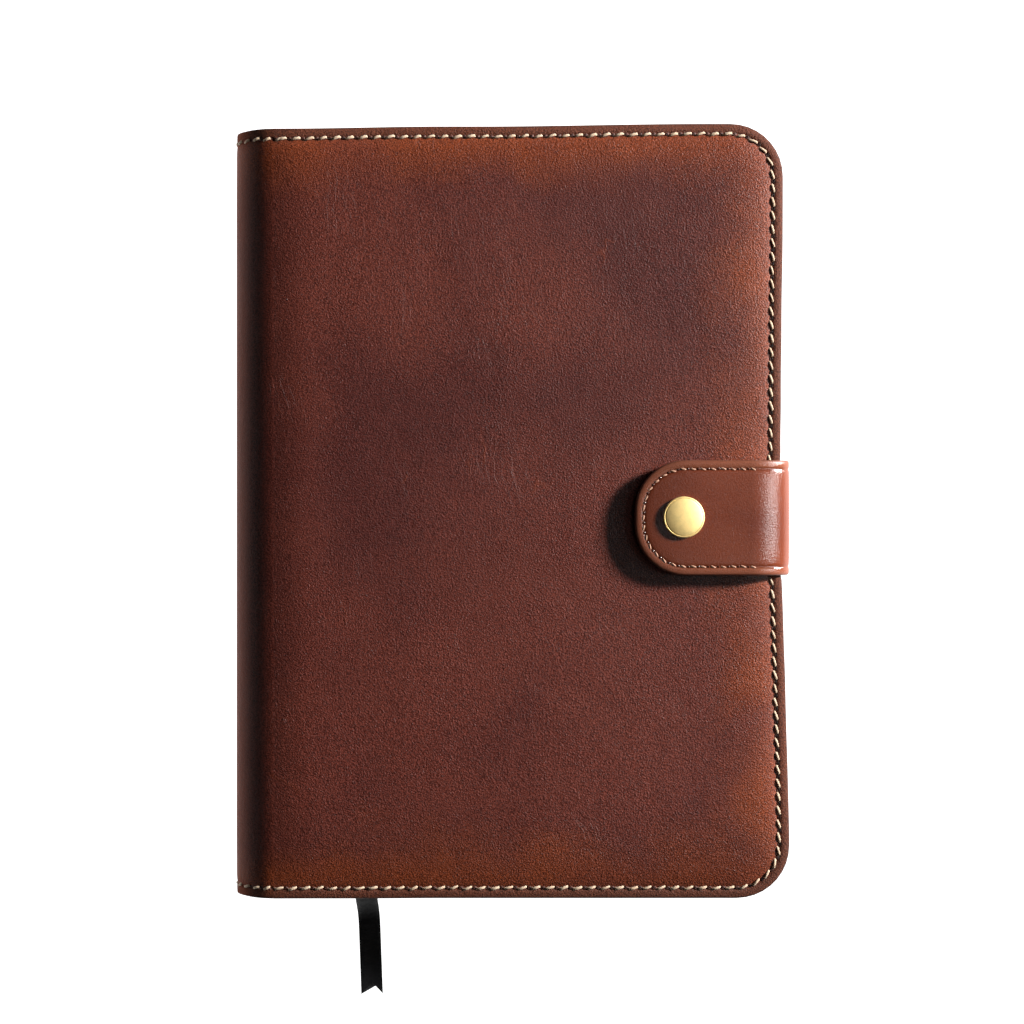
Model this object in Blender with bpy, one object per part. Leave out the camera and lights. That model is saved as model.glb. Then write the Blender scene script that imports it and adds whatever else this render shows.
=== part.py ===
"""Leather notebook cover with a snap tab, a notebook refill and a ribbon, as separate solids.

Lengths are in millimetres here and are turned into metres when a mesh is made. +Z is up, the back
cover lies on z = 0, the spine is at -X and the head of the book is at +Y.
"""

import math

import bmesh
import bpy
from mathutils import Vector

# The cover, closed.
COVER_WIDTH = 156.7  # spine to fore edge
COVER_HEIGHT = 220.0  # head to tail
COVER_THICK = 24.0
CORNER_RADIUS = 15.0
CORNER_STEPS = 8
TAB_REACH = 159.4  # the tab's outermost face, measured from the spine
SHIFT_X = -TAB_REACH / 2  # brings the middle of the object to x = 0

# Layers, as depths measured inwards from a cover's outer face.
LEATHER = (0.0, 1.8)
STIFFENER = (1.9, 2.7)
LINING = (1.9, 3.6)
LINING_BED = 2.8  # the recess that the stiffener lies in
SPINE_LINING = (1.9, 2.7)
BOARD = (3.8, 4.6)
POCKET = (3.7, 5.4)
POCKET_BED = 4.7  # the slot that takes the notebook's card cover
STIFFENER_INSET = 6.0
POCKET_MOUTH = 92.0
POCKET_INSET = 0.8
POCKET_RIM = 4.5

# How far the outer leather sinks towards its free edges: (distance from the edge, drop).
EDGE_DROPS = (
    (0.0, 1.15),
    (0.9, 0.8),
    (2.3, 0.7),
    (2.55, 1.05),
    (3.45, 1.05),
    (3.75, 0.6),
    (5.5, 0.25),
    (9.0, 0.0),
)
THREAD_RUN = (2.65, 3.35)  # the seam thread lies in the groove between these distances
THREAD_DROPS = (0.55, 0.97)

# The spine is half an octagon: three flat strips hinged at its corners.
OCTAGON_LEG = COVER_THICK / (2 + math.sqrt(2))
MITRE = math.tan(math.radians(22.5))
SPINE_CORNERS = (
    (OCTAGON_LEG, 0.0),
    (0.0, OCTAGON_LEG),
    (0.0, COVER_THICK - OCTAGON_LEG),
    (OCTAGON_LEG, COVER_THICK),
)
END_GAP = 0.06  # kept at every mitred end

# The notebook.
BLOCK_SPINE = 7.0
BLOCK_GAP = 0.1  # either side of the plane that the pages turn about
PAGE_WIDTH = 142.0
PAGE_HEIGHT = 208.0
PAGE_RADIUS = 6.0
SIGNATURES = 5  # in each half
BLOCK_LOW = 5.7
SIGNATURE_GAP = 0.08
BOARD_WIDTH = 142.0
BOARD_HEIGHT = 210.0
BOARD_RADIUS = 11.0

# The tab.
TAB_WIDTH = 32.7
TAB_Y = -1.65
TAB_TIP = 114.8
TAB_TOP = 27.7
TAB_LEATHER = 1.6
TAB_LINING = (1.7, 2.4)
TAB_CHAMFER = 3.6
TAB_BOTTOM = 1.9  # the height at which the tab leaves the back cover's seam
TAB_TIP_RADIUS = 14.5
TAB_TAIL = (138.0, 2.7)  # where its thinned end starts inside the seam, and that end's top
TAB_SEAM_INSET = (2.1, 2.9)
TAB_SEAM_END = 148.5

# The snap.
SNAP_X = 128.65
SNAP_Y = -1.45
SNAP_STEPS = 28
POST_HOLE = 1.8  # radii of the holes that the snap's pieces pass through
RIVET_HOLE = 4.5
SOCKET_HOLE = 3.4
BEYOND = 1.0  # how far a cutter runs past what it cuts

# The ribbon.
RIBBON_WIDTH = 6.4
RIBBON_THICK = 0.45
RIBBON_X = (10.8, 37.3, 38.5)  # at the head, at the tail edge, and at its end
RIBBON_HEAD_Y = 103.0
RIBBON_FALL = (
    (-100.0, 11.62),
    (-104.5, 11.6),
    (-108.0, 11.2),
    (-111.2, 9.9),
    (-113.8, 7.6),
    (-116.0, 4.9),
    (-118.4, 2.4),
    (-121.4, 0.85),
    (-125.0, 0.4),
    (-132.0, 0.3),
    (-143.0, 0.3),
)
RIBBON_NOTCH = 3.4


# Each body's parent, and the x and z of the hinge line that it turns about.
BODIES = {
    "back": (None, COVER_WIDTH / 2, 0.0),
    "spine_lower": ("back", *SPINE_CORNERS[0]),
    "spine_mid": ("spine_lower", *SPINE_CORNERS[1]),
    "spine_upper": ("spine_mid", *SPINE_CORNERS[2]),
    "front": ("spine_upper", *SPINE_CORNERS[3]),
    "pages_front": ("back", BLOCK_SPINE, COVER_THICK / 2),
    "tab_riser": ("back", TAB_REACH, TAB_BOTTOM),
    "tab_shoulder": ("tab_riser", TAB_REACH, TAB_TOP - TAB_CHAMFER),
    "tab_flap": ("tab_shoulder", TAB_REACH - TAB_CHAMFER, TAB_TOP),
}

# Finishes: base colour, roughness, metallic.
FINISHES = {
    "cover leather": ((0.105, 0.033, 0.024), 0.5, 0.0),
    "tab leather": ((0.165, 0.045, 0.022), 0.35, 0.0),
    "suede": ((0.24, 0.115, 0.06), 0.95, 0.0),
    "grey board": ((0.28, 0.25, 0.2), 0.9, 0.0),
    "thread": ((0.83, 0.7, 0.53), 0.65, 0.0),
    "kraft card": ((0.3, 0.19, 0.1), 0.8, 0.0),
    "paper": ((0.83, 0.78, 0.66), 0.85, 0.0),
    "satin": ((0.01, 0.01, 0.012), 0.45, 0.0),
    "brass": ((0.8, 0.6, 0.27), 0.3, 1.0),
}


def body_of(name):
    """The body that a piece belongs to, from its name."""
    if name.startswith(("front_", "notebook_front")) or name == "snap_stud":
        return "front"
    if name.startswith("signature_front"):
        return "pages_front"
    if name.startswith(("tab_flap", "snap_")):
        return "tab_flap"
    for body in ("spine_lower", "spine_mid", "spine_upper", "tab_riser", "tab_shoulder"):
        if name.startswith(body):
            return body
    return "back"


def finish_of(name):
    endings = (
        ("thread", "thread"),
        ("stiffener", "grey board"),
        ("lining", "suede"),
        ("pocket", "suede"),
        ("board", "kraft card"),
    )
    starts = (("signature", "paper"), ("ribbon", "satin"), ("snap", "brass"), ("tab", "tab leather"))
    for ending, finish in endings:
        if name.endswith(ending):
            return finish
    for start, finish in starts:
        if name.startswith(start):
            return finish
    return "cover leather"


def clear_scene():
    for thing in list(bpy.data.objects):
        bpy.data.objects.remove(thing, do_unlink=True)


def metres(x, y, z):
    return Vector(((x + SHIFT_X) / 1000, y / 1000, z / 1000))


def hinge_point(body):
    _, x, z = BODIES[body]
    return metres(x, 0.0, z)


def make_bodies():
    """An empty on each body's hinge line, each parented to the empty of the body that carries it."""
    for body, (parent, *_) in BODIES.items():
        empty = bpy.data.objects.new(body + "_body", None)
        bpy.context.scene.collection.objects.link(empty)
        empty.location = hinge_point(body)
        if parent:
            empty.parent = bpy.data.objects[parent + "_body"]
            empty.location = hinge_point(body) - hinge_point(parent)


def make_materials():
    for name, (colour, roughness, metallic) in FINISHES.items():
        material = bpy.data.materials.new(name)
        material.use_nodes = True
        surface = material.node_tree.nodes["Principled BSDF"]
        surface.inputs["Base Color"].default_value = (*colour, 1.0)
        surface.inputs["Roughness"].default_value = roughness
        surface.inputs["Metallic"].default_value = metallic


def finished(name, made):
    """An object from a bmesh in millimetres: its origin is the middle of its foot, it is placed by
    its location, and it is parented to its body's empty."""
    bmesh.ops.recalc_face_normals(made, faces=made.faces)
    low = Vector([min(v.co[k] for v in made.verts) for k in range(3)])
    high = Vector([max(v.co[k] for v in made.verts) for k in range(3)])
    foot = Vector(((low.x + high.x) / 2, (low.y + high.y) / 2, low.z))
    for vertex in made.verts:
        vertex.co = (vertex.co - foot) / 1000
    mesh = bpy.data.meshes.new(name)
    made.to_mesh(mesh)
    made.free()
    mesh.shade_smooth()
    mesh.set_sharp_from_angle(angle=math.radians(30))
    mesh.materials.append(bpy.data.materials[finish_of(name)])
    thing = bpy.data.objects.new(name, mesh)
    bpy.context.scene.collection.objects.link(thing)
    thing.parent = bpy.data.objects[body_of(name) + "_body"]
    thing.location = metres(*foot) - hinge_point(body_of(name))
    return thing


def loft(name, rings, flat_end=False):
    """A solid through rings with the same number of points, capped at both ends. With flat_end,
    the closing sides of all the rings lie in one plane and make one face there, so that a groove
    may run out through it."""
    made = bmesh.new()
    rows = [[made.verts.new(point) for point in ring] for ring in rings]
    count = len(rows[0])
    made.faces.new(rows[0])
    made.faces.new(rows[-1])
    for low, high in zip(rows, rows[1:]):
        for i in range(count - 1 if flat_end else count):
            j = (i + 1) % count
            made.faces.new((low[i], low[j], high[j], high[i]))
    if flat_end:
        made.faces.new([row[0] for row in rows] + [row[-1] for row in reversed(rows)])
    return finished(name, made)


def prism(name, outline, low, high):
    """An outline extruded upwards."""
    made = bmesh.new()
    face = made.faces.new([made.verts.new((x, y, low)) for x, y in outline])
    grown = bmesh.ops.extrude_face_region(made, geom=[face])
    raised = [part for part in grown["geom"] if isinstance(part, bmesh.types.BMVert)]
    bmesh.ops.translate(made, verts=raised, vec=(0, 0, high - low))
    return finished(name, made)


def cut(thing, *cutters):
    """Takes the cutters away from the thing."""
    for cutter in cutters:
        cutter.hide_render = True
        cutter.display_type = "WIRE"
        step = thing.modifiers.new("cut", "BOOLEAN")
        step.operation = "DIFFERENCE"
        step.solver = "EXACT"
        step.object = cutter
    return thing


def turned(name, profile, x, y, steps=SNAP_STEPS):
    """A profile of (radius, height) pairs spun about a vertical line. It starts and ends on the
    line, or else it is a closed ring."""
    made = bmesh.new()
    verts = [made.verts.new((x + r, y, z)) for r, z in profile]
    edges = [made.edges.new(pair) for pair in zip(verts, verts[1:])]
    if profile[0][0] > 0:
        edges.append(made.edges.new((verts[-1], verts[0])))
    bmesh.ops.spin(
        made,
        geom=verts + edges,
        cent=(x, y, 0),
        axis=(0, 0, 1),
        angle=2 * math.pi,
        steps=steps,
        use_merge=True,
    )
    bmesh.ops.remove_doubles(made, verts=made.verts, dist=1e-4)
    return finished(name, made)


def cylinder(name, radius, x, y, low, high, steps=SNAP_STEPS):
    made = bmesh.new()
    grown = bmesh.ops.create_cone(
        made,
        cap_ends=True,
        segments=steps,
        radius1=radius,
        radius2=radius,
        depth=high - low,
    )
    bmesh.ops.translate(made, verts=grown["verts"], vec=(x, y, (low + high) / 2))
    return finished(name, made)


def panel_outline(start, inset, width=COVER_WIDTH, height=COVER_HEIGHT, radius=CORNER_RADIUS):
    """A panel with a straight end at x = start and two rounded corners at its fore edge."""
    bend = max(radius - inset, 0.8)
    far = width - inset - bend
    side = height / 2 - inset - bend
    outline = [(start, -height / 2 + inset)]
    for sign in (-1, 1):
        for i in range(CORNER_STEPS + 1):
            turn = math.pi / 2 * (i / CORNER_STEPS)
            angle = turn - math.pi / 2 if sign < 0 else turn
            outline.append((far + bend * math.cos(angle), sign * side + bend * math.sin(angle)))
    outline.append((start, height / 2 - inset))
    return outline


def height_of(depth, front):
    return COVER_THICK - depth if front else depth


def hinge_x(depth):
    """Where a panel ends at this depth: its mitre leans away from the spine."""
    return OCTAGON_LEG + MITRE * depth + END_GAP


def cover_leather(name, front):
    rings = [(0.5, LEATHER[1]), (0.0, 1.5)]
    rings += list(EDGE_DROPS)
    lofted = []
    for inset, depth in rings:
        level = height_of(depth, front)
        outline = panel_outline(hinge_x(depth), inset)
        lofted.append([(x, y, level) for x, y in outline])
    return loft(name, lofted, flat_end=True)


def flat_layer(name, depths, start, inset, front, **shape):
    outline = panel_outline(start, inset, **shape)
    low, high = sorted(height_of(depth, front) for depth in depths)
    return prism(name, outline, low, high)


def cover_lining(name, front):
    start = hinge_x(LINING[1])
    layer = flat_layer(name, LINING, start, 0.5, front)
    bed_start = hinge_x(STIFFENER[1]) + STIFFENER_INSET - 0.3
    bed = flat_layer(
        name + "_bed", (LINING[0] - BEYOND, LINING_BED), bed_start, STIFFENER_INSET - 0.3, front
    )
    return cut(layer, bed)


def cover_pocket(name, front):
    layer = flat_layer(name, POCKET, POCKET_MOUTH, POCKET_INSET, front)
    slot = flat_layer(
        name + "_slot", (POCKET[0] - BEYOND, POCKET_BED), POCKET_MOUTH - BEYOND, POCKET_RIM, front
    )
    return cut(layer, slot)


def flat_band(name, outer, inner, low, high):
    """A band of rectangular section between two open outlines with the same number of points."""
    rings = []
    for (ax, ay), (bx, by) in zip(outer, inner):
        rings.append([(ax, ay, low), (bx, by, low), (bx, by, high), (ax, ay, high)])
    return loft(name, rings)


def cover_thread(name, front):
    start = hinge_x(THREAD_DROPS[1]) + 0.2
    low, high = sorted(height_of(depth, front) for depth in THREAD_DROPS)
    outer, inner = (panel_outline(start, inset) for inset in THREAD_RUN)
    return flat_band(name, outer, inner, low, high)


def strip_section(corners, depths):
    """The four corners of a mitred layer between two octagon corners."""
    (ax, az), (bx, bz) = corners
    length = math.hypot(bx - ax, bz - az)
    along = ((bx - ax) / length, (bz - az) / length)
    inward = (along[1], -along[0])
    section = []
    for depth, ends in ((depths[0], (0, 1)), (depths[1], (1, 0))):
        trim = MITRE * depth + END_GAP
        for end in ends:
            run = trim if end == 0 else length - trim
            section.append(
                (
                    ax + along[0] * run + inward[0] * depth,
                    az + along[1] * run + inward[1] * depth,
                )
            )
    return section


def spine_leather(name, corners):
    half = COVER_HEIGHT / 2
    rings = []
    stations = [(-half + inset, drop) for inset, drop in EDGE_DROPS]
    stations += [(half - inset, drop) for inset, drop in reversed(EDGE_DROPS)]
    for y, drop in stations:
        rings.append([(x, y, z) for x, z in strip_section(corners, (drop, LEATHER[1]))])
    return loft(name, rings)


def spine_layer(name, corners, depths, low, high):
    section = strip_section(corners, depths)
    return loft(name, [[(x, y, z) for x, z in section] for y in (low, high)])


def spine_strip(name, corners):
    half = COVER_HEIGHT / 2
    spine_leather(name + "_leather", corners)
    spine_layer(name + "_lining", corners, SPINE_LINING, -half + 0.5, half - 0.5)
    near, far = half - THREAD_RUN[1], half - THREAD_RUN[0]
    spine_layer(name + "_head_thread", corners, THREAD_DROPS, near, far)
    spine_layer(name + "_tail_thread", corners, THREAD_DROPS, -far, -near)


def signature(name, low, high):
    """A folded gathering of leaves: its fold at the spine is rounded."""
    start = BLOCK_SPINE + BLOCK_GAP
    soften = (high - low) * 0.3
    rings = []
    for level, pull in ((low, soften), (low + soften, 0.0), (high - soften, 0.0), (high, soften)):
        outline = panel_outline(
            start + pull, 0.0, BLOCK_SPINE + PAGE_WIDTH, PAGE_HEIGHT, PAGE_RADIUS
        )
        rings.append([(x, y, level) for x, y in outline])
    return loft(name, rings)


def signature_levels():
    """The heights of the rear half's gatherings, counted from the back board."""
    pitch = (COVER_THICK / 2 - SIGNATURE_GAP / 2 - BLOCK_LOW) / SIGNATURES
    for i in range(SIGNATURES):
        low = BLOCK_LOW + i * pitch
        yield low, low + pitch - SIGNATURE_GAP


def ribbon_line():
    """The ribbon's middle line, from the head of the book to its loose end."""
    head, edge, end = RIBBON_X
    run = []
    steps = 14
    for i in range(steps):
        y = RIBBON_HEAD_Y + (RIBBON_FALL[0][0] - RIBBON_HEAD_Y) * i / steps
        run.append((y, RIBBON_FALL[0][1]))
    run += list(RIBBON_FALL)
    line = []
    for y, z in run:
        if y > -110:
            part = (RIBBON_HEAD_Y - y) / (RIBBON_HEAD_Y + 110)
            x = head + (edge - head) * (1 - (1 - part) ** 2)
        else:
            x = edge + (end - edge) * (-110 - y) / 33
        line.append((x, y, z))
    return line


def ribbon_solid(name, line, width, thick, notch):
    """A flat band along the line, three points wide, whose end is cut to a swallowtail."""
    rings = []
    for i, (x, y, z) in enumerate(line):
        before = line[max(i - 1, 0)]
        after = line[min(i + 1, len(line) - 1)]
        run = [b - a for a, b in zip(before, after)]
        flat = math.hypot(run[0], run[1])
        side = (-run[1] / flat, run[0] / flat)
        slope = run[2] / math.hypot(flat, run[2])
        level = flat / math.hypot(flat, run[2])
        up = (-run[0] / flat * slope, -run[1] / flat * slope, level)
        ring = []
        for across, lift in ((-1, -1), (0, -1), (1, -1), (1, 1), (0, 1), (-1, 1)):
            back = notch if i == len(line) - 1 and across == 0 else 0.0
            ring.append(
                (
                    x + side[0] * across * width / 2 + up[0] * lift * thick / 2,
                    y + side[1] * across * width / 2 + up[1] * lift * thick / 2 + back,
                    z + up[2] * lift * thick / 2,
                )
            )
        rings.append(ring)
    return loft(name, rings)


def tab_outline(inset, start, mouth):
    """The flap seen from above: a blunt round tip at -X and square at its root."""
    bend = TAB_TIP_RADIUS - inset
    half = TAB_WIDTH / 2 - inset
    near = TAB_TIP + inset + bend
    outline = [(start, TAB_Y + half)]
    for sign, base in ((1, math.pi / 2), (-1, math.pi)):
        for i in range(CORNER_STEPS + 1):
            angle = base + math.pi / 2 * i / CORNER_STEPS
            y = TAB_Y + sign * (half - bend) + bend * math.sin(angle)
            outline.append((near + bend * math.cos(angle), y))
    outline.append((mouth, TAB_Y - half))
    return outline


def flap_layer(name, depths, soften):
    """A layer of the flap, mitred where it meets the shoulder."""
    rings = []
    root = TAB_REACH - TAB_CHAMFER
    levels = [(depths[0], soften), (depths[0] + soften, 0.0), (depths[1], 0.0)]
    for depth, inset in levels:
        start = root - MITRE * depth - END_GAP
        outline = tab_outline(inset, start, start)
        rings.append([(x, y, TAB_TOP - depth) for x, y in outline])
    return loft(name, rings)


def band(name, section):
    """A piece of the strap: a section in x and z carried across the tab's width."""
    sides = (TAB_Y - TAB_WIDTH / 2, TAB_Y + TAB_WIDTH / 2)
    return loft(name, [[(x, y, z) for x, z in section] for y in sides])


def tab_corners():
    """The strap's outer line, from the back cover's seam round to the flap."""
    return (
        (TAB_REACH, TAB_BOTTOM),
        (TAB_REACH, TAB_TOP - TAB_CHAMFER),
        (TAB_REACH - TAB_CHAMFER, TAB_TOP),
    )


def riser_section(depths):
    """The upright: a 45 degree mitre at its foot and a 22.5 degree one at its top."""
    foot, shoulder, _ = tab_corners()
    section = []
    for depth, order in ((depths[0], (0, 1)), (depths[1], (1, 0))):
        low = foot[1] + depth + END_GAP
        high = shoulder[1] - MITRE * depth - END_GAP
        ends = (low, high)
        section += [(TAB_REACH - depth, ends[i]) for i in order]
    return section


def shoulder_section(depths):
    _, low, high = tab_corners()
    length = math.hypot(high[0] - low[0], high[1] - low[1])
    along = ((high[0] - low[0]) / length, (high[1] - low[1]) / length)
    inward = (-along[1], along[0])
    section = []
    for depth, order in ((depths[0], (0, 1)), (depths[1], (1, 0))):
        trim = MITRE * depth + END_GAP
        for end in order:
            run = trim if end == 0 else length - trim
            section.append(
                (
                    low[0] + along[0] * run + inward[0] * depth,
                    low[1] + along[1] * run + inward[1] * depth,
                )
            )
    return section


def tab_anchor():
    """The strap's thinned end, sewn between the back cover's leather and its lining."""
    start, top = TAB_TAIL
    rise = top - TAB_BOTTOM
    section = [
        (start, TAB_BOTTOM + 0.05),
        (TAB_REACH - END_GAP - 0.05, TAB_BOTTOM + 0.05),
        (TAB_REACH - END_GAP - rise, top),
        (start, top),
    ]
    return band("tab_anchor", section)


def tab_thread(name):
    """The seam round the flap's tip, proud of the leather by less than the thread is thick."""
    outer, inner = (tab_outline(inset, TAB_SEAM_END, TAB_SEAM_END) for inset in TAB_SEAM_INSET)
    return flat_band(name, outer, inner, TAB_TOP - 0.3, TAB_TOP + 0.1)


def tab_thread_groove():
    """The groove that the flap's thread lies in, cut a little wider than the thread."""
    room = 0.1
    end = TAB_SEAM_END + 0.3
    outer = tab_outline(TAB_SEAM_INSET[0] - room, end, end)
    inner = tab_outline(TAB_SEAM_INSET[1] + room, end, end)
    return flat_band("tab_flap_groove", outer, inner, TAB_TOP - 0.4, TAB_TOP + BEYOND)


def build_covers():
    for side, front in (("back", False), ("front", True)):
        leather = cover_leather(side + "_cover_leather", front)
        start = hinge_x(STIFFENER[1]) + STIFFENER_INSET
        stiffener = flat_layer(side + "_stiffener", STIFFENER, start, STIFFENER_INSET, front)
        lining = cover_lining(side + "_lining", front)
        cover_pocket(side + "_pocket", front)
        cover_thread(side + "_seam_thread", front)
        flat_layer(
            "notebook_" + side + "_board",
            BOARD,
            BLOCK_SPINE + 1.4,
            0.0,
            front,
            width=BLOCK_SPINE + 1.4 + BOARD_WIDTH,
            height=BOARD_HEIGHT,
            radius=BOARD_RADIUS,
        )
        if front:
            top = COVER_THICK
            under = top - STIFFENER[1] - BEYOND
            post = cylinder("post_hole", POST_HOLE, SNAP_X, SNAP_Y, under, top + BEYOND)
            cut(leather, post)
            rivet = cylinder("rivet_hole", RIVET_HOLE, SNAP_X, SNAP_Y, under, top - LEATHER[1] - 0.05)
            cut(stiffener, rivet)
        else:
            start, tail_top = TAB_TAIL
            room = 0.2
            low, high = TAB_Y - TAB_WIDTH / 2 - room, TAB_Y + TAB_WIDTH / 2 + room
            near, far = start - room, TAB_REACH + BEYOND
            window = [(near, low), (far, low), (far, high), (near, high)]
            under = STIFFENER[0] - BEYOND
            cut(stiffener, prism("anchor_window", window, under, STIFFENER[1] + BEYOND))
            cut(lining, prism("anchor_slot", window, under, tail_top + 0.1))


def build_spine():
    names = ("spine_lower", "spine_mid", "spine_upper")
    for i, name in enumerate(names):
        spine_strip(name, SPINE_CORNERS[i : i + 2])


def build_notebook():
    line = ribbon_line()
    ribbon_solid("ribbon_bookmark", line, RIBBON_WIDTH, RIBBON_THICK, RIBBON_NOTCH)
    for i, (low, high) in enumerate(signature_levels(), 1):
        rear = signature(f"signature_rear_{i}", low, high)
        signature(f"signature_front_{i}", COVER_THICK - high, COVER_THICK - low)
        if i == SIGNATURES:
            inside = [point for point in line if point[1] > -112]
            room = ribbon_solid("ribbon_groove", inside, RIBBON_WIDTH + 0.4, 1.0, 0.0)
            cut(rear, room)


def build_tab():
    leather_depths = (0.0, TAB_LEATHER)
    tab_anchor()
    band("tab_riser_leather", riser_section(leather_depths))
    band("tab_riser_lining", riser_section(TAB_LINING))
    band("tab_shoulder_leather", shoulder_section(leather_depths))
    band("tab_shoulder_lining", shoulder_section(TAB_LINING))
    leather = flap_layer("tab_flap_leather", leather_depths, 0.4)
    lining = flap_layer("tab_flap_lining", TAB_LINING, 0.0)
    under = TAB_TOP - TAB_LINING[1] - BEYOND
    hole = cylinder("socket_hole", SOCKET_HOLE, SNAP_X, SNAP_Y, under, TAB_TOP + BEYOND)
    cut(leather, hole, tab_thread_groove())
    cut(lining, hole)
    tab_thread("tab_flap_thread")


def build_snap():
    top = COVER_THICK
    stud = (
        (0, top - 2.6),
        (4.0, top - 2.6),
        (4.2, top - 2.3),
        (4.0, top - 1.9),
        (1.6, top - 1.9),
        (1.6, top + 0.08),
        (4.0, top + 0.08),
        (4.0, top + 0.4),
        (1.5, top + 0.45),
        (1.4, top + 1.0),
        (1.95, top + 1.4),
        (1.95, top + 1.8),
        (1.4, top + 2.25),
        (0, top + 2.35),
    )
    turned("snap_stud", stud, SNAP_X, SNAP_Y)
    socket = (
        (2.3, top + 0.5),
        (4.5, top + 0.5),
        (4.6, top + 0.7),
        (4.5, top + 0.85),
        (3.25, top + 0.85),
        (3.25, TAB_TOP - 0.1),
        (2.5, TAB_TOP - 0.1),
        (2.5, top + 0.9),
    )
    turned("snap_socket", socket, SNAP_X, SNAP_Y)
    cap = (
        (0, top + 2.7),
        (2.2, top + 2.7),
        (2.2, TAB_TOP + 0.1),
        (5.5, TAB_TOP + 0.1),
        (5.85, TAB_TOP + 0.35),
        (5.85, TAB_TOP + 0.95),
        (5.5, TAB_TOP + 1.3),
        (4.6, TAB_TOP + 1.6),
        (2.6, TAB_TOP + 1.85),
        (0, TAB_TOP + 1.95),
    )
    turned("snap_cap", cap, SNAP_X, SNAP_Y)


def main():
    clear_scene()
    make_materials()
    make_bodies()
    build_covers()
    build_spine()
    build_notebook()
    build_tab()
    build_snap()


main()
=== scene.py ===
"""The notebook cover's visual model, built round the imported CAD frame.

Lengths in this file are millimetres, measured as in the CAD: x from the spine's outermost line, y up
the page from its middle, z up from the table. place() turns them into the frame's metres.
"""

import math
import random

import bpy
import numpy as np
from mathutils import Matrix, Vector, noise


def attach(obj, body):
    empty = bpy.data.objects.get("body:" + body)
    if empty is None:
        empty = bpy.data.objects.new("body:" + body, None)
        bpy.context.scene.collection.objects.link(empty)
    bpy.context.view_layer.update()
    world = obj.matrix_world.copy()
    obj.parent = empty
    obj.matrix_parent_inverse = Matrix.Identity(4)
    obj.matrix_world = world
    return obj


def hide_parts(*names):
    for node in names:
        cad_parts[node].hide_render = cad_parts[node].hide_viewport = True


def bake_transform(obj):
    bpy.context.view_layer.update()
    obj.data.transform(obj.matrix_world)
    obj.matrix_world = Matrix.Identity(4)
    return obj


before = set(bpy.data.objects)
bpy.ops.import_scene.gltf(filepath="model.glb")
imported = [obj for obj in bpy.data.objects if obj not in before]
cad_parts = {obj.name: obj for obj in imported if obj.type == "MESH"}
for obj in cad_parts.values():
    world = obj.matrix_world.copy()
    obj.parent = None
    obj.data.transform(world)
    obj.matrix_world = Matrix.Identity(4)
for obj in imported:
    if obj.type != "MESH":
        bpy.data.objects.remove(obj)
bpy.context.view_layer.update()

# The cover.
WIDTH, HEIGHT, THICK = 157.0, 220.0, 24.0
CORNER = 15.0
LEATHER_T = 1.8
SPINE_R = THICK / 2
SPINE_LINING = (1.9, 2.7)  # the depths of its two faces
SPINE_SHIFT = -0.45  # the cover's spine side sits a little towards the tail
SHIFT_X = -79.7  # takes the spine's outermost line to its place in the frame
SEAM_INSET = 3.0
SEAM_STITCHES = 127  # round one cover's three free sides
SPINE_STITCHES = 10  # across the spine at each end
SEAM_PITCH = 3.84
SEAM_STITCH = (0.36, 0.24, 0.42)  # a stitch's radius, rise and slant
POCKET_START = 92.0
POCKET_SEAM, LINING_SEAM = 5.5, 3.7  # the depths that the inner stitches lie at

# The tab.
TAB_Y, TAB_HALF, TAB_TIP, TAB_TOP, TAB_REACH = -1.65, 16.35, 114.8, 27.7, 159.4
TAB_TIP_R = 14.5
BEND_X, BEND_Z = 148.0, 21.0  # where the tab's shoulder starts and ends
FOOT_R, FOOT_Z = 4.2, 1.9  # the bend at the foot, and the height of the sewn-in end's outer face
THINNED = 0.26  # the sewn-in end's share of the full thickness
TAB_SEAM = 2.5
TAB_STITCHES = 29  # round the flap
TAB_PITCH = 3.3
TAB_STITCH = (0.26, 0.06, 0.34)
TAB_SEAM_END = 1.8  # how far the seam's last hole is past the start of the shoulder
SNAP_X, SNAP_Y = 128.65, -1.45

# The notebook.
BLOCK_X, PAGE_FAR, PAGE_HALF, PAGE_R = 7.1, 149.0, 104.0, 6.0
BLOCK_LOW, SIGNATURES, LEAVES = 5.7, 5, 10

# The ribbon: its x at its head, at the cover's tail edge and at its end, the y of these, and its
# middle line in y and z past the block.
RIBBON_W, RIBBON_T = 6.4, 0.45
RIBBON_X = (10.8, 37.3, 38.5)
RIBBON_HEAD_Y, RIBBON_EDGE_Y, RIBBON_END_Y = 103.0, -110.0, -143.0
RIBBON_NOTCH = 3.4
RIBBON_FALL = (
    (-100.0, 11.62), (-104.5, 11.6), (-108.0, 11.2), (-111.2, 9.9), (-113.8, 7.6), (-116.0, 4.9),
    (-118.4, 2.4), (-121.4, 0.85), (-125.0, 0.4), (-132.0, 0.3), (RIBBON_END_Y, 0.3),
)

# A cover's layers in section: (distance from the free edge, depth below the cover's outer face).
# The outer leather's edge comes first, then all of it, the lining and the pocket.
EDGE_SECTION = (
    (8.0, 1.8), (3.0, 1.8), (0.5, 1.79), (0.16, 1.7), (0.0, 1.5), (0.05, 1.28),
    (0.22, 1.1), (0.5, 0.98), (0.95, 0.9), (1.5, 0.85), (2.0, 0.86), (2.35, 0.93),
    (2.65, 1.1), (3.0, 1.2), (3.35, 1.12), (3.65, 0.98), (4.05, 0.83), (4.6, 0.69),
    (5.4, 0.53), (6.5, 0.38), (8.0, 0.23), (10.0, 0.11), (13.0, 0.04), (17.0, 0.01),
    (21.0, 0.0),
)
INNER_RINGS = (25, 30, 36, 43, 52, 61, 71, 81, 91, 101, 110)
LEATHER_SECTION = EDGE_SECTION + tuple((ring, 0.0) for ring in INNER_RINGS)
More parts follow.
